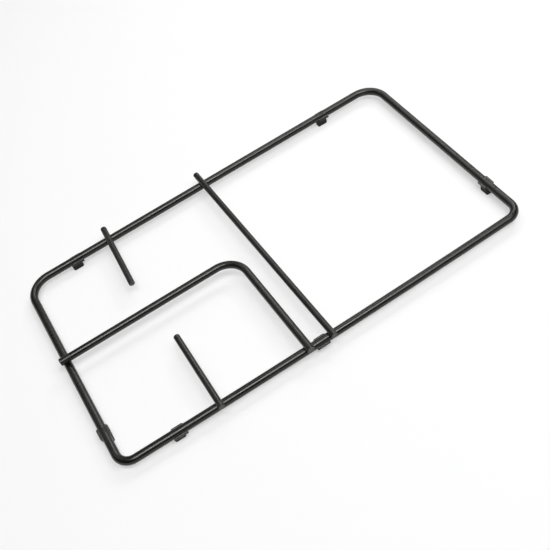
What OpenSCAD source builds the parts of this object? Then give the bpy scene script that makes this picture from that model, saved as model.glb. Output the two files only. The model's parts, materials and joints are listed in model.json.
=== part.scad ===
// Half-width hob grate: a ring of bent rod, pot bars welded on top of it, feet under it.
// +X runs along the long rods, +Y to the back, +Z up. The origin is on the surface the
// grate stands on, under the middle of its outline.

/* [Frame] */
// Length between the centre lines of the two short rods
frame_len = 450; // [380:1:520]
// Width between the centre lines of the two long rods, before the front one bows
frame_w = 254.5; // [220:0.5:300]
// Diameter of the frame rod with its enamel
frame_rod_d = 8.5; // [7:0.1:10]
// Bend radius of the two back corners, on the centre line
back_corner_r = 24; // [16:0.5:36]
// Bend radius of the two front corners, on the centre line
front_corner_r = 14; // [10:0.5:24]
// How far the middle of the front rod stands out from its ends
front_bow = 2; // [0.5:0.1:4]

/* [Pot bars] */
// Diameter of the bent corner bar
corner_rod_d = 8; // [6:0.1:9]
// Diameter of the cross bar and of the two fingers
bar_rod_d = 6.6; // [5:0.1:8]
// How deep a bar is set into the frame rod by its weld
weld_sink = 0.5; // [0.3:0.05:1]
// How far the bars end in front of the front rod
front_overhang = 3.2; // [1:0.1:8]
// How far the cross bar and the rear finger end behind the back rod
back_overhang = 8.3; // [1:0.1:14]
// Diameter of the weld between a bar and the rod under it
weld_d = 5.6; // [3:0.1:6]
// Size of the eased edge round each cut rod end
end_ease = 1; // [0.4:0.1:2]

/* [Cross bar] */
// Distance of the cross bar from the left rod, at the middle of the grate
cross_at = 222.2; // [205:0.1:250]
// How far the cross bar leans out of square, in degrees
cross_lean = 1.2; // [0:0.1:2]

/* [Corner bar] */
// Distance of its short arm's line from the left rod, at the bend
corner_x = 196.8; // [170:0.1:205]
// Distance of its long arm's line from the front rod, at the bend
corner_y = 133.5; // [115:0.5:150]
// Bend radius on the centre line
corner_bend_r = 24; // [14:0.5:40]
// How far the long arm leans out of square, in degrees
corner_long_lean = 0.3; // [0:0.1:2]
// How far the short arm leans out of square, in degrees
corner_short_lean = 1; // [0:0.1:2]
// How far the long arm ends outside the left rod
left_overhang = 1.2; // [0.5:0.1:6]

/* [Fingers] */
// Distance of the rear finger's root from the left rod
rear_finger_at = 100; // [80:0.5:120]
// Free length of the rear finger, from the back rod's centre line
rear_finger_len = 79.2; // [50:0.1:100]
// How far the rear finger leans out of square, in degrees
rear_finger_lean = 3.8; // [0:0.1:6]
// Distance of the front finger's root from the left rod
front_finger_at = 102.6; // [80:0.1:120]
// Free length of the front finger, from the front rod's centre line
front_finger_len = 89; // [50:0.5:110]
// How far the front finger leans out of square, in degrees
front_finger_lean = 0.4; // [0:0.1:3]

/* [Feet] */
// Length of a foot saddle along the rod
saddle_len = 14; // [10:0.1:18]
// Sheet thickness of a saddle
saddle_t = 1.75; // [1:0.05:3]
// Height of a saddle's rims above the middle of the rod
saddle_rim = 0.6; // [0:0.1:1.5]
// Corner radius of a saddle, seen from above
saddle_corner_r = 3; // [1:0.1:4]
// Length of a foot pad along the rod
pad_len = 12; // [8:0.1:14]
// Width of a foot pad across the rod
pad_w = 7.6; // [6:0.1:9]
// How far a pad reaches below its saddle
pad_drop = 4.5; // [3:0.1:8]
// How far a pad sits inwards of the rod's centre line
pad_inset = 1; // [0:0.1:1.4]
// How far a pad sits off the middle of its saddle, along the rod
pad_slip = 2; // [0:0.1:2.4]
// Corner radius of a pad, seen from above
pad_corner_r = 2.6; // [1:0.1:2.9]
// Eased edge round the underside of a pad
pad_ease = 0.9; // [0.3:0.1:1.5]
// Distance of the two left feet of the long rods from the left rod
left_feet_at = 59; // [45:1:75]
// Distance of the middle front saddle from the left rod
mid_saddle_at = 213.8; // [180:0.1:270]
// Distance of the back right foot from the right rod
right_foot_at = 71; // [55:1:110]
// Distance of the right rod's foot from the front rod
right_rod_foot_at = 52; // [40:1:80]
// Distance of the left rod's foot from the front rod
left_rod_foot_at = 42; // [34:1:60]

/* [Hidden] */

// Steps round a rod, round a full turn of a bend, along the bow and round a corner
section_fn = 48;
bend_fn = 96;
bow_steps = 16;
corner_steps = 5;
// How far a shape that only trims another reaches past it
proud = 0.3;
// A bend runs out into a straight under a ring a hair proud of the rod
ring_len = 0.8;
ring_proud = 0.02;

enamel = "#232322";
rubber = "#2c2b29";

hx = frame_len / 2;
hy = frame_w / 2;
rod_r = frame_rod_d / 2;
saddle_r = rod_r + saddle_t;
frame_z = saddle_r + pad_drop;
bar_z = rod_r + bar_rod_d / 2 - weld_sink;
corner_z = rod_r + corner_rod_d / 2 - weld_sink;

// The front rod is an arc that meets both front corners without a kink
bow_turn = 2 * atan(front_bow / (hx - front_corner_r));
bow_r = round((hx - front_corner_r * (1 - sin(bow_turn))) / sin(bow_turn));
bow_angle = asin((hx - front_corner_r) / (bow_r - front_corner_r));
bow_yc = round(10 * (bow_r * cos(bow_angle) - hy)) / 10;
front_corner_y = bow_yc - (bow_r - front_corner_r) * cos(bow_angle);

back_c = [hx - back_corner_r, hy - back_corner_r];
front_c = [hx - front_corner_r, front_corner_y];
bow_end = [bow_r * sin(bow_angle), bow_yc - bow_r * cos(bow_angle)];

// Middle of the outline: saddles stand out of the rods as bar ends do
origin_x = min(0, saddle_t - left_overhang) / 2;
origin_y = (max(back_overhang, saddle_t) - max(front_overhang, saddle_t) - front_bow) / 2;

// Where a bar through (x0, y0) that leans by "lean" crosses a given y
function lean_x(x0, y0, lean, y) = x0 - (y - y0) * tan(lean);
// Centre line of the front rod, its direction there, and where the bars end in front of it
function front_y(x) = bow_yc - sqrt(bow_r * bow_r - x * x);
function front_turn(x) = asin(x / bow_r);
function front_end(x) = front_y(x) - rod_r - front_overhang;
function polar(r, a) = [r * cos(a), r * sin(a)];
// Outline of a cut end whose edge is eased by e: distance from the axis, and from the end
function cut_edge(r, e) = e == 0 ? [[r, 0]] : [for (a = [0:30:90]) [r, e] - e * [1 - sin(a), cos(a)]];
// Corner points of an l by w outline whose corners are rounded to r
function round_outline(l, w, r) = [
    for (q = [0:3]) for (k = [0:corner_steps])
        let (sx = q == 0 || q == 3 ? 1 : -1, sy = q < 2 ? 1 : -1)
            [sx * (l / 2 - r), sy * (w / 2 - r)] + polar(r, 90 * (q + k / corner_steps))
];

back_end = hy + rod_r + back_overhang;
cross_x = cross_at - hx;
cross_back_x = lean_x(cross_x, 0, cross_lean, hy);
cross_front_x = lean_x(cross_x, 0, cross_lean, -hy);

rear_x = rear_finger_at - hx;
rear_tip_y = hy - rear_finger_len;
front_x = front_finger_at - hx;
front_tip_y = front_y(front_x) + front_finger_len;

bend = [corner_x - hx, corner_y - hy];
long_dir = 180 - corner_long_lean;
short_dir = 270 + corner_short_lean;
bend_turn = 180 - (short_dir - long_dir);
bend_c = bend + polar(corner_bend_r / cos(bend_turn / 2), (long_dir + short_dir) / 2);
long_start = bend_c + polar(corner_bend_r, long_dir - 90);
short_start = bend_c + polar(corner_bend_r, short_dir + 90);
long_end_x = -hx - rod_r - left_overhang;
long_len = (long_start.x - long_end_x) / cos(corner_long_lean);
short_front_x = short_start.x + (short_start.y - front_y(bend.x)) * tan(corner_short_lean);
short_len = (short_start.y - front_end(short_front_x)) / cos(corner_short_lean);
long_y_at_rod = long_start.y + (long_start.x + hx) * tan(corner_long_lean);

// Each foot: place of the saddle on its rod, the turn that brings local +Y inwards,
// and the way the pad is off the middle of the saddle
mid_x = mid_saddle_at - hx;
left_x = left_feet_at - hx;
BACK_LEFT = [left_x, hy, 180, 1];
BACK_RIGHT = [hx - right_foot_at, hy, 180, 1];
RIGHT = [hx, right_rod_foot_at - hy, 90, -1];
LEFT = [-hx, left_rod_foot_at - hy, -90, 1];
FRONT_LEFT = [left_x, front_y(left_x), front_turn(left_x), -1];
FRONT_MID = [mid_x, front_y(mid_x), front_turn(mid_x), 0];

// Puts what is drawn round the frame rods' centre plane at its place over the surface
module on_frame() {
    translate([-origin_x, -origin_y, frame_z]) children();
}

// Straight rod along +X from the origin, with its cut ends eased
module cut_rod(length, d, ease_start = end_ease) {
    near = cut_edge(d / 2, ease_start);
    far = cut_edge(d / 2, end_ease);
    rotate([0, 90, 0])
        rotate_extrude($fn = section_fn)
            polygon([
                [0, 0], each near,
                for (i = [len(far) - 1:-1:0]) [far[i].x, length - far[i].y],
                [0, length],
            ]);
}

// Round rod from p in a direction, cut square
module plain_rod(p, way, length, d) {
    translate([p.x, p.y, 0])
        rotate([0, 90, way])
            cylinder(h = length, d = d, $fn = section_fn);
}

// Bent piece of rod round a centre, from angle a0 through "sweep"
module bent_rod(c, r, a0, sweep, d) {
    translate([c.x, c.y, 0])
        rotate(a0)
            rotate_extrude(angle = sweep, $fn = bend_fn)
                translate([r, 0]) circle(d = d, $fn = section_fn);
}

// Ring round the place where a bend runs out
module run_out(p, way, d) {
    translate([p.x, p.y, 0])
        rotate([0, 90, way])
            cylinder(h = ring_len, d = d + 2 * ring_proud, center = true, $fn = section_fn);
}

// The four rails of the ring
module back_rail() {
    plain_rod([-back_c.x, hy], 0, 2 * back_c.x, frame_rod_d);
}
module side_rail(side) {
    plain_rod([side * hx, front_c.y], 90, back_c.y - front_c.y, frame_rod_d);
}
module front_rail() {
    translate([0, bow_yc, 0])
        rotate(270 - bow_angle)
            rotate_extrude(angle = 2 * bow_angle, $fn = ceil(180 * bow_steps / bow_angle))
                translate([bow_r, 0]) circle(d = frame_rod_d, $fn = section_fn);
}

// One rod bent to a ring
module outer_frame() {
    color(enamel) on_frame() {
        back_rail();
        front_rail();
        for (side = [-1, 1]) {
            side_rail(side);
            run_out([side * back_c.x, hy], 0, frame_rod_d);
            run_out([side * hx, back_c.y], 90, frame_rod_d);
            run_out([side * hx, front_c.y], 90, frame_rod_d);
            run_out([side * bow_end.x, bow_end.y], side * bow_angle, frame_rod_d);
        }
        bent_rod(back_c, back_corner_r, 0, 90, frame_rod_d);
        bent_rod([-back_c.x, back_c.y], back_corner_r, 90, 90, frame_rod_d);
        bent_rod([-front_c.x, front_c.y], front_corner_r, 180, 90 - bow_angle, frame_rod_d);
        bent_rod(front_c, front_corner_r, 270 + bow_angle, 90 - bow_angle, frame_rod_d);
    }
}

// Short stretch of rail that what is welded there is fitted to
module seat(p, way = 0) {
    translate([p.x, p.y, 0])
        rotate([0, 90, way])
            cylinder(h = 2 * saddle_len, d = frame_rod_d, center = true, $fn = section_fn);
}

// Short neck of weld metal between a bar and the rod under it
module weld_neck(x, y, z) {
    translate([x, y, 0]) cylinder(h = z, d = weld_d, $fn = section_fn);
}

// Straight bar across the whole grate
module cross_bar() {
    back_x = lean_x(cross_x, 0, cross_lean, back_end);
    front_y0 = front_y(cross_front_x);
    length = (back_end - front_end(cross_front_x)) / cos(cross_lean);
    color(enamel) on_frame() difference() {
        union() {
            translate([back_x, back_end, bar_z])
                rotate(cross_lean - 90) cut_rod(length, bar_rod_d);
            weld_neck(cross_back_x, hy, bar_z);
            weld_neck(cross_front_x, front_y0, bar_z);
        }
        seat([cross_back_x, hy]);
        seat([cross_front_x, front_y0], front_turn(cross_front_x));
    }
}

// Bar bent to an L: its long arm ends on the left rod, its short arm on the front rod
module corner_bar() {
    color(enamel) on_frame() difference() {
        union() {
            translate([0, 0, corner_z]) {
                bent_rod(bend_c, corner_bend_r, short_dir - 270, bend_turn, corner_rod_d);
                run_out(long_start, long_dir, corner_rod_d);
                run_out(short_start, short_dir, corner_rod_d);
                translate([long_start.x, long_start.y, 0])
                    rotate(long_dir) cut_rod(long_len, corner_rod_d, 0);
                translate([short_start.x, short_start.y, 0])
                    rotate(short_dir) cut_rod(short_len, corner_rod_d, 0);
            }
            weld_neck(-hx, long_y_at_rod, corner_z);
            weld_neck(short_front_x, front_y(short_front_x), corner_z);
        }
        seat([-hx, long_y_at_rod], 90);
        seat([short_front_x, front_y(short_front_x)], front_turn(short_front_x));
    }
}

// Short bar on the back rod, its free end inside the ring
module rear_finger() {
    start_x = lean_x(rear_x, hy, -rear_finger_lean, back_end);
    length = (back_end - rear_tip_y) / cos(rear_finger_lean);
    color(enamel) on_frame() difference() {
        union() {
            translate([start_x, back_end, bar_z])
                rotate(-90 - rear_finger_lean) cut_rod(length, bar_rod_d);
            weld_neck(rear_x, hy, bar_z);
        }
        seat([rear_x, hy]);
    }
}

// Short bar on the front rod, its free end inside the ring
module front_finger() {
    start_y = front_end(front_x);
    start_x = lean_x(front_x, front_y(front_x), -front_finger_lean, start_y);
    length = (front_tip_y - start_y) / cos(front_finger_lean);
    color(enamel) on_frame() difference() {
        union() {
            translate([start_x, start_y, bar_z])
                rotate(90 - front_finger_lean) cut_rod(length, bar_rod_d);
            weld_neck(front_x, front_y(front_x), bar_z);
        }
        seat([front_x, front_y(front_x)], front_turn(front_x));
    }
}

// Puts a foot's piece, drawn round a rod along X, at its spot
module at_spot(spot) {
    on_frame() translate([spot.x, spot.y, 0]) rotate(spot[2]) children();
}

// Pressed half-shell that hugs the underside of a frame rod
module saddle(spot) {
    color(enamel) at_spot(spot) difference() {
        intersection() {
            rotate([0, 90, 0])
                cylinder(h = saddle_len + proud, r = saddle_r, center = true, $fn = section_fn);
            translate([0, 0, -saddle_r - proud])
                linear_extrude(saddle_r + proud + saddle_rim)
                    polygon(round_outline(saddle_len, 2 * saddle_r + proud, saddle_corner_r));
        }
        seat([0, 0]);
    }
}

// Side view of a pad: a block with both bottom edges eased
module pad_profile(w, top) {
    e = pad_ease;
    low = -saddle_r - pad_drop;
    polygon([
        [-w / 2 + e, low], [w / 2 - e, low], [w / 2, low + e],
        [w / 2, top], [-w / 2, top], [-w / 2, low + e],
    ]);
}

// Rubber block moulded to the underside of a saddle
module pad(spot) {
    reach = pad_w / 2 + pad_inset;
    top = proud - sqrt(saddle_r * saddle_r - reach * reach);
    color(rubber) at_spot(spot) difference() {
        translate([spot[3] * pad_slip, pad_inset, 0]) intersection() {
            translate([0, 0, -saddle_r - pad_drop - proud])
                linear_extrude(saddle_r + pad_drop)
                    polygon(round_outline(pad_len, pad_w, pad_corner_r));
            rotate([90, 0, 0]) linear_extrude(pad_w + proud, center = true)
                pad_profile(pad_len, top);
            rotate([90, 0, 90]) linear_extrude(pad_len + proud, center = true)
                pad_profile(pad_w, top);
        }
        rotate([0, 90, 0])
            cylinder(h = 2 * pad_len, r = saddle_r, center = true, $fn = section_fn);
    }
}

outer_frame();
cross_bar();
corner_bar();
rear_finger();
front_finger();
saddle(BACK_LEFT);  // saddle_back_left
saddle(BACK_RIGHT);  // saddle_back_right
saddle(RIGHT);  // saddle_right
saddle(LEFT);  // saddle_left
saddle(FRONT_LEFT);  // saddle_front_left
saddle(FRONT_MID);  // saddle_front_mid
pad(BACK_LEFT);  // pad_back_left
pad(BACK_RIGHT);  // pad_back_right
pad(RIGHT);  // pad_right
pad(LEFT);  // pad_left
pad(FRONT_LEFT);  // pad_front_left
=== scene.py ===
"""Looks of the hob grate: black enamel and rubber over the CAD frame, a white table and soft studio light."""

import json
import math

import bpy
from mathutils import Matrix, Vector


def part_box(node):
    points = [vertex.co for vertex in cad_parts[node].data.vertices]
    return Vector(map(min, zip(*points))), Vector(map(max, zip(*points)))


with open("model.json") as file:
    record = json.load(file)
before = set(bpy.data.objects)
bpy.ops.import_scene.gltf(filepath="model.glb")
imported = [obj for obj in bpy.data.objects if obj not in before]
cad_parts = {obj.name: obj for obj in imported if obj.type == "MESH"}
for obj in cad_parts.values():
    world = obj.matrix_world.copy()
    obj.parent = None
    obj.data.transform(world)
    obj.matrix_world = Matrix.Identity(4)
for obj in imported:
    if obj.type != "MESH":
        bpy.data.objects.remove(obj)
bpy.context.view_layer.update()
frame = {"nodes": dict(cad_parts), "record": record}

# Camera: place in metres, turns in degrees, lens in millimetres on a sensor 36 mm wide
CAMERA_PLACE = (-0.1487, -0.54891, 0.67687)
CAMERA_TURNS = (36.994, 12.028, -30.986)
CAMERA_LENS = 55.75

# Light: each lamp's place and the sides of its panel in metres, and its power in watts
GRATE_CENTRE = Vector((0, 0, 0.01))
LAMPS = {
    "high_front_lamp": ((0.1, -1.0, 2.4), (1.1, 0.8), 34.0),
    "high_front_right_lamp": ((0.9, -1.0, 2.4), (0.9, 0.8), 12.0),
    "high_left_lamp": ((-0.5, -0.3, 2.4), (0.6, 0.4), 10.7),
    "high_right_lamp": ((1.14, 0.0, 2.45), (0.7, 0.7), 6.2),
    "front_right_lamp": ((1.35, -1.35, 1.91), (0.7, 0.7), 5.8),
    "back_left_lamp": ((-1.23, 1.23, 2.07), (0.7, 0.7), 3.6),
    "low_back_right_lamp": ((1.73, 1.73, 1.14), (0.7, 0.7), 4.4),
    "right_lamp": ((1.2, 0.6, 1.2), (0.3, 0.3), 5.1),
    "near_back_lamp": ((0.25, 0.55, 1.0), (0.35, 0.35), 1.5),
    "near_back_right_lamp": ((0.6, 0.85, 1.0), (0.35, 0.35), 1.55),
    "near_back_left_lamp": ((-0.1, 0.8, 0.9), (0.35, 0.35), 0.42),
}
# Surround: how high up its white horizon starts to fade and where it has, as sines, and how bright it is above
HORIZON_FADE = (0.05, 0.25)
SURROUND_ABOVE = 0.05

# Table: half its side in metres, its colour, and the glow that lifts it to the white of the background,
# which is full beyond the lamps' reach: between these distances in metres it goes up
TABLE_REACH = 6.0
TABLE_COLOUR = (0.475, 0.475, 0.475)
TABLE_LIFT = 0.42
LAMP_REACH = (0.6, 2.6)

# Enamel: its two blacks, the grey where it is thin, its gloss, and the size in metres of its patches,
# of its grain and of the ripple that it sets with
ENAMEL_DARK = (0.0007, 0.0007, 0.0003, 1)
ENAMEL_LIGHT = (0.0025, 0.0025, 0.0014, 1)
ENAMEL_WORN = (0.12, 0.118, 0.108, 1)
ENAMEL_ROUGH = (0.26, 0.33)
ENAMEL_WORN_ROUGH = 0.6
ENAMEL_IOR = 1.5
ENAMEL_SHEEN_TINT = (1, 1, 0.965, 1)
# How much rougher than the ring a duller piece is, how much of the worn grey lies over it, and its index
DULLER = {"cross_bar": (0.1, 0.0, ENAMEL_IOR), "rear_finger": (0.2, 0.05, ENAMEL_IOR)}
SADDLE_DULLER = (0.12, 0.0, 1.34)
PATCH_SIZE = 0.016
GRAIN_SIZE = 0.0011
RIPPLE_SIZE = 0.0035
RIPPLE_DEPTH = 0.00004
GRAIN_DEPTH = 0.000007

# Wear: how far it reaches from an edge in metres, on a cut bar end and on a pressed rim
END_WEAR = 0.0009
RIM_WEAR = 0.0003
# Radius in metres of the matt marks that spot welding left on top of the frame rod
MARK_SIZE = 0.0055

# Rubber: its two blacks, the grey of the painted highlight along its upper edge and how far that reaches in
# metres
RUBBER_DARK = (0.003, 0.003, 0.0025, 1)
RUBBER_LIGHT = (0.012, 0.012, 0.0105, 1)
RUBBER_PAINTED_HIGHLIGHT = (0.05, 0.049, 0.046, 1)
RUBBER_ROUGH = (0.62, 0.82)
RUBBER_IOR = 1.4
RUBBER_GRAIN_SIZE = 0.0007
RUBBER_GRAIN_DEPTH = 0.00008
PAINTED_HIGHLIGHT_REACH = 0.0012


def node_tree(material):
    """An empty node tree for the material, and a function that adds a node with its inputs set."""
    material.use_nodes = True
    tree = material.node_tree
    tree.nodes.clear()

    def add(kind, inputs=None, **settings):
        node = tree.nodes.new(kind)
        for name, value in settings.items():
            setattr(node, name, value)
        for name, value in (inputs or {}).items():
            if isinstance(value, bpy.types.NodeSocket):
                tree.links.new(value, node.inputs[name])
            else:
                node.inputs[name].default_value = value
        return node

    return add


def noise(add, where, size, detail=2.0):
    """Noise between about 0.3 and 0.7 whose lumps are size metres across."""
    return add("ShaderNodeTexNoise", {"Vector": where, "Scale": 1 / size, "Detail": detail}).outputs[0]


def ramp(add, value, low, high, first=0.0, last=1.0):
    """first where value is below low, last where it is above high, and smooth between."""
    return add(
        "ShaderNodeMapRange",
        {"Value": value, "From Min": low, "From Max": high, "To Min": first, "To Max": last},
        interpolation_type="SMOOTHSTEP",
    ).outputs[0]


def math_node(add, operation, a, b):
    return add("ShaderNodeMath", {0: a, 1: b}, operation=operation).outputs[0]


def blend_colours(add, share, a, b):
    return add("ShaderNodeMix", {0: share, 6: a, 7: b}, data_type="RGBA").outputs[2]


def near_edge(add, where, point, inwards, reach):
    """1 at the plane through point, fading out at reach metres inwards."""
    offset = add("ShaderNodeVectorMath", {0: where, 1: point}, operation="SUBTRACT").outputs[0]
    depth = add("ShaderNodeVectorMath", {0: offset, 1: inwards}, operation="DOT_PRODUCT").outputs["Value"]
    return ramp(add, depth, reach / 4, reach, 1.0, 0.0)


def near_spot(add, where, centre, radius):
    """1 at the centre, fading out at the radius."""
    gap = add("ShaderNodeVectorMath", {0: where, 1: centre}, operation="DISTANCE").outputs["Value"]
    return ramp(add, gap, radius / 3, radius, 1.0, 0.0)


def largest(add, masks):
    """The largest of the masks at each point, or 0 without any."""
    total = 0.0
    for mask in masks:
        total = math_node(add, "MAXIMUM", mask, total)
    return total


def enamel_material(name, edges=(), marks=(), duller=(0.0, 0.0, ENAMEL_IOR)):
    """Satin black enamel: mottled and faintly rippled, thin along its edges, matt at its marks."""
    rougher, greyer, ior = duller
    material = bpy.data.materials.new(name)
    add = node_tree(material)
    where = add("ShaderNodeTexCoord").outputs["Object"]
    patches = noise(add, where, PATCH_SIZE, 3.0)
    grain = noise(add, where, GRAIN_SIZE, 3.0)
    ripple = noise(add, where, RIPPLE_SIZE)

    edge = largest(add, [near_edge(add, where, *spot) for spot in edges])
    worn = math_node(add, "MULTIPLY", edge, ramp(add, grain, 0.38, 0.6))
    mark = largest(add, [near_spot(add, where, *spot) for spot in marks])
    matt = math_node(add, "MAXIMUM", worn, math_node(add, "MULTIPLY", mark, 0.8))

    tone = ramp(add, math_node(add, "ADD", patches, math_node(add, "MULTIPLY", grain, 0.5)), 0.6, 0.9)
    colour = blend_colours(add, tone, ENAMEL_DARK, ENAMEL_LIGHT)
    film = math_node(add, "MULTIPLY", ramp(add, patches, 0.35, 0.65, 0.5, 1.0), greyer)
    colour = blend_colours(add, math_node(add, "MAXIMUM", worn, film), colour, ENAMEL_WORN)
    gloss = ramp(add, patches, 0.35, 0.65, *(rough + rougher for rough in ENAMEL_ROUGH))
    gloss = add("ShaderNodeMix", {0: matt, 2: gloss, 3: ENAMEL_WORN_ROUGH}).outputs[0]

    waves = add("ShaderNodeBump", {"Height": ripple, "Distance": RIPPLE_DEPTH, "Strength": 1.0})
    relief = add(
        "ShaderNodeBump",
        {"Height": grain, "Distance": GRAIN_DEPTH, "Strength": 1.0, "Normal": waves.outputs[0]},
    )
    skin = add(
        "ShaderNodeBsdfPrincipled",
        {
            "Base Color": colour,
            "Roughness": gloss,
            "IOR": ior,
            "Specular Tint": ENAMEL_SHEEN_TINT,
            "Normal": relief.outputs[0],
        },
    )
    add("ShaderNodeOutputMaterial", {"Surface": skin.outputs["BSDF"]})
    return material


def rubber_material(name, top):
    """Matt black rubber, mottled and pitted, with a painted highlight of speckled grey along its upper edge.
    """
    material = bpy.data.materials.new(name)
    add = node_tree(material)
    where = add("ShaderNodeTexCoord").outputs["Object"]
    patches = noise(add, where, 3 * RUBBER_GRAIN_SIZE, 3.0)
    grain = noise(add, where, RUBBER_GRAIN_SIZE, 3.0)
    # Painted highlight: the pad's upper edge is lightened to grey, speckled by the grain
    edge = near_edge(add, where, (0, 0, top), (0, 0, -1), PAINTED_HIGHLIGHT_REACH)
    painted_highlight = math_node(add, "MULTIPLY", edge, ramp(add, grain, 0.4, 0.62))
    colour = blend_colours(add, ramp(add, patches, 0.4, 0.65), RUBBER_DARK, RUBBER_LIGHT)
    colour = blend_colours(add, painted_highlight, colour, RUBBER_PAINTED_HIGHLIGHT)
    relief = add("ShaderNodeBump", {"Height": grain, "Distance": RUBBER_GRAIN_DEPTH, "Strength": 1.0})
    skin = add(
        "ShaderNodeBsdfPrincipled",
        {
            "Base Color": colour,
            "Roughness": ramp(add, patches, 0.4, 0.6, *RUBBER_ROUGH),
            "IOR": RUBBER_IOR,
            "Normal": relief.outputs[0],
        },
    )
    add("ShaderNodeOutputMaterial", {"Surface": skin.outputs["BSDF"]})
    return material


def bar_edges(node, ends):
    """The planes of the bar's cut ends: a point, the way inwards and the reach of the wear."""
    low, high = (Vector(corner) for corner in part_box(node))
    planes = {
        "left": (low, (1, 0, 0), END_WEAR),
        "front": (low, (0, 1, 0), END_WEAR),
        "back": (high, (0, -1, 0), END_WEAR),
    }
    return [planes[end] for end in ends]


def rod_top_over(saddle):
    """The point on top of the frame rod over the middle of a saddle."""
    low, high = (Vector(corner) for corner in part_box(saddle))
    middle = (low + high) / 2
    return (middle.x, middle.y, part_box("outer_frame")[1][2])


def finish_of(node):
    """The material of a node."""
    if node.startswith("pad_"):
        return rubber_material(node + "_rubber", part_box(node)[1][2])
    if node.startswith("saddle_"):
        rim = ((0, 0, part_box(node)[1][2]), (0, 0, -1), RIM_WEAR)
        return enamel_material(node + "_enamel", edges=[rim], duller=SADDLE_DULLER)
    if node == "outer_frame":
        marks = [(rod_top_over(saddle), MARK_SIZE) for saddle in ("saddle_back_right", "saddle_left")]
        return enamel_material("frame_enamel", marks=marks)
    ends = ("left", "front") if node == "corner_bar" else ("front", "back")
    duller = DULLER.get(node, (0.0, 0.0, ENAMEL_IOR))
    return enamel_material(node + "_enamel", edges=bar_edges(node, ends), duller=duller)


def seen_directly(add):
    """1 where the camera, a mirror or glass sees the surface, 0 where it lights another."""
    path = add("ShaderNodeLightPath").outputs
    mirrored = math_node(add, "MAXIMUM", path["Is Glossy Ray"], path["Is Transmission Ray"])
    return math_node(add, "MAXIMUM", path["Is Camera Ray"], mirrored)


def table():
    """The white surface under the grate."""
    bpy.ops.mesh.primitive_plane_add(size=2 * TABLE_REACH)
    top = bpy.context.object
    top.name = "table"
    material = bpy.data.materials.new("table")
    add = node_tree(material)
    matt = add("ShaderNodeBsdfDiffuse", {"Color": (*TABLE_COLOUR, 1)})
    where = add("ShaderNodeTexCoord").outputs["Object"]
    away = add("ShaderNodeVectorMath", {0: where}, operation="LENGTH").outputs["Value"]
    lift = ramp(add, away, *LAMP_REACH, TABLE_LIFT, 1.0)
    glow = add("ShaderNodeEmission", {"Strength": math_node(add, "MULTIPLY", seen_directly(add), lift)})
    both = add("ShaderNodeAddShader", {0: matt.outputs[0], 1: glow.outputs[0]})
    add("ShaderNodeOutputMaterial", {"Surface": both.outputs[0]})
    top.data.materials.append(material)


def lamp(name, place, sides, watts):
    """A soft lamp that faces the grate."""
    data = bpy.data.lights.new(name, "AREA")
    data.shape = "RECTANGLE"
    data.size, data.size_y = sides
    data.energy = watts
    panel = bpy.data.objects.new(name, data)
    bpy.context.scene.collection.objects.link(panel)
    panel.location = place
    panel.rotation_euler = (GRATE_CENTRE - panel.location).to_track_quat("-Z", "Y").to_euler()


def sky():
    """A surround with a white horizon and little light above it; it doesn't light the grate."""
    world = bpy.data.worlds.new("surround")
    bpy.context.scene.world = world
    add = node_tree(world)
    upwards = add("ShaderNodeSeparateXYZ", {0: add("ShaderNodeTexCoord").outputs["Generated"]}).outputs["Z"]
    tone = ramp(add, upwards, *HORIZON_FADE, 1.0, SURROUND_ABOVE)
    light = add("ShaderNodeBackground", {"Strength": math_node(add, "MULTIPLY", seen_directly(add), tone)})
    light.inputs["Color"].default_value = (1, 1, 1, 1)
    add("ShaderNodeOutputWorld", {"Surface": light.outputs[0]})


def camera():
    """The photograph's viewpoint."""
    data = bpy.data.cameras.new("camera")
    data.sensor_width = 36
    data.lens = CAMERA_LENS
    data.clip_start = 0.01
    data.clip_end = 50
    eye = bpy.data.objects.new("camera", data)
    bpy.context.scene.collection.objects.link(eye)
    eye.location = CAMERA_PLACE
    eye.rotation_euler = [math.radians(turn) for turn in CAMERA_TURNS]
    bpy.context.scene.camera = eye


for part in frame["record"]["subparts"]:
    shape = frame["nodes"][part["node"]].data
    shape.materials.clear()
    shape.materials.append(finish_of(part["node"]))

camera()
table()
for lamp_name, settings in LAMPS.items():
    lamp(lamp_name, *settings)
sky()
bpy.context.scene.view_settings.view_transform = "Standard"
